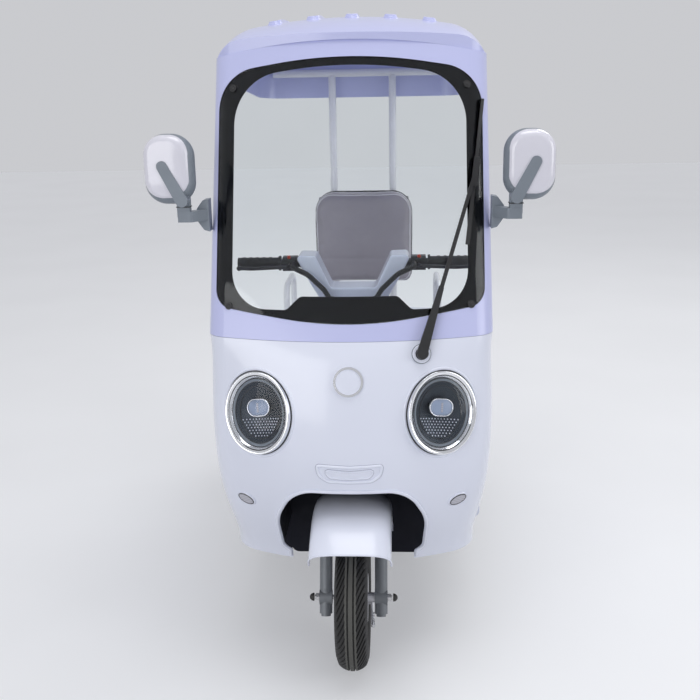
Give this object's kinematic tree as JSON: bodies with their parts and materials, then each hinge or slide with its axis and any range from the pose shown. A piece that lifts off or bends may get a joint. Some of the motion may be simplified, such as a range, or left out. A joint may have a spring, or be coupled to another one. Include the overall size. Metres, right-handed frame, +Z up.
{
  "type": "three-wheeled electric car with a canopy",
  "caption": "Small electric three-wheeler with a steered front wheel, windscreen, ribbed canopy roof on two posts, a hinged saddle, a rear bench and open sides.",
  "frame": {"origin": "on the floor under the middle of the vehicle's box", "axes": "+Z up, the front faces -Y, +X to the right of someone looking at the front"},
  "size_m": [0.992, 1.7459, 1.6609],
  "materials": {
    "frame_black": "satin",
    "floor_plastic": "textured",
    "mat_rubber": "ribbed matt",
    "white_paint": "gloss, faint lilac tint",
    "lilac_paint": "gloss pearl",
    "clear_glass": "clear",
    "black_border": "gloss",
    "liner_plastic": "matt",
    "inner_plastic": "fine grain",
    "chrome_trim": "polished",
    "lamp_reflector": "metallised",
    "lamp_lens": "clear",
    "marker_lens": "clear lens",
    "black_plastic": "fine grain",
    "grey_plastic": "satin",
    "pearl_plastic": "pearl",
    "mirror_face": "silvered",
    "zinc_steel": "zinc",
    "seat_leather": "soft grain",
    "white_tube": "gloss",
    "spring_steel": "gloss",
    "tail_lens": "clear red",
    "plate_blank": "satin",
    "fork_steel": "satin",
    "fork_silver": "satin",
    "drum_silver": "cast",
    "grip_rubber": "ribbed",
    "lever_alloy": "black anodised",
    "tyre": "rubber"
  },
  "bodies": {
    "root": {"chassis_frame": "frame_black", "floor_pan": "floor_plastic", "floor_mat": "mat_rubber", "cowl_lower": "white_paint", "cowl_upper": "lilac_paint", "windscreen": "clear_glass", "windscreen_border": "black_border", "wheel_well_liner": "liner_plastic", "inner_cowl": "inner_plastic", "side_sills": "white_paint", "brake_pedal": "frame_black", "smile_moulding": "white_paint", "nose_ring": "chrome_trim", "headlamp_bezels": "chrome_trim", "headlamp_bowls": "lamp_reflector", "headlamp_lenses": "lamp_lens", "marker_lamps": "marker_lens", "wiper": "black_plastic", "mirror_arms": "grey_plastic", "mirror_housings": "pearl_plastic", "mirror_glasses": "mirror_face", "rear_body": "white_paint", "rear_arch_liners": "liner_plastic", "store_tub": "liner_plastic", "saddle_hinge": "zinc_steel", "bench_cushion": "seat_leather", "backrest_pad": "seat_leather", "backrest_board": "black_plastic", "armrest_loops": "white_tube", "roof_posts": "white_tube", "roof_crossbar": "white_tube", "roof_shell": "lilac_paint", "rear_axle": "frame_black", "trailing_arms": "frame_black", "spring_units": "spring_steel", "battery_block": "black_plastic", "tail_lamps": "tail_lens", "rear_bumper": "white_tube", "rear_plate": "plate_blank"},
    "steering": {"fork": "fork_steel", "fork_sliders": "fork_silver", "front_axle": "zinc_steel", "front_fender": "white_paint", "brake_plate": "drum_silver", "handlebar": "frame_black", "grips": "grip_rubber", "switch_boxes": "black_plastic", "brake_levers": "lever_alloy", "handlebar_cowl": "white_paint", "instrument": "black_plastic", "control_hoses": "grip_rubber"},
    "front_wheel": {"front_tyre": "tyre", "front_rim": "drum_silver"},
    "rear_wheel_left": {"rear_tyre_left": "tyre", "rear_rim_left": "drum_silver"},
    "rear_wheel_right": {"rear_tyre_right": "tyre", "rear_rim_right": "drum_silver"},
    "saddle": {"saddle_pan": "black_plastic", "saddle_cushion": "seat_leather"}
  },
  "joints": [
    {"name": "steering", "type": "hinge", "parent": "root", "child": "steering", "pos_m": [0, -0.7495, 0], "axis": [0, 0.3746, 0.9272], "range_deg": [-28, 28]},
    {"name": "front_wheel_spin", "type": "hinge", "parent": "steering", "child": "front_wheel", "pos_m": [0, -0.6895, 0.1835], "axis": [1, 0, 0], "continuous": true},
    {"name": "rear_left_spin", "type": "hinge", "parent": "root", "child": "rear_wheel_left", "pos_m": [-0.295, 0.5105, 0.1835], "axis": [1, 0, 0], "continuous": true},
    {"name": "rear_right_spin", "type": "hinge", "parent": "root", "child": "rear_wheel_right", "pos_m": [0.295, 0.5105, 0.1835], "axis": [1, 0, 0], "continuous": true},
    {"name": "saddle_tip", "type": "hinge", "parent": "root", "child": "saddle", "pos_m": [0.076, -0.0805, 0.616], "axis": [1, 0, 0], "range_deg": [0, 75]}
  ]
}
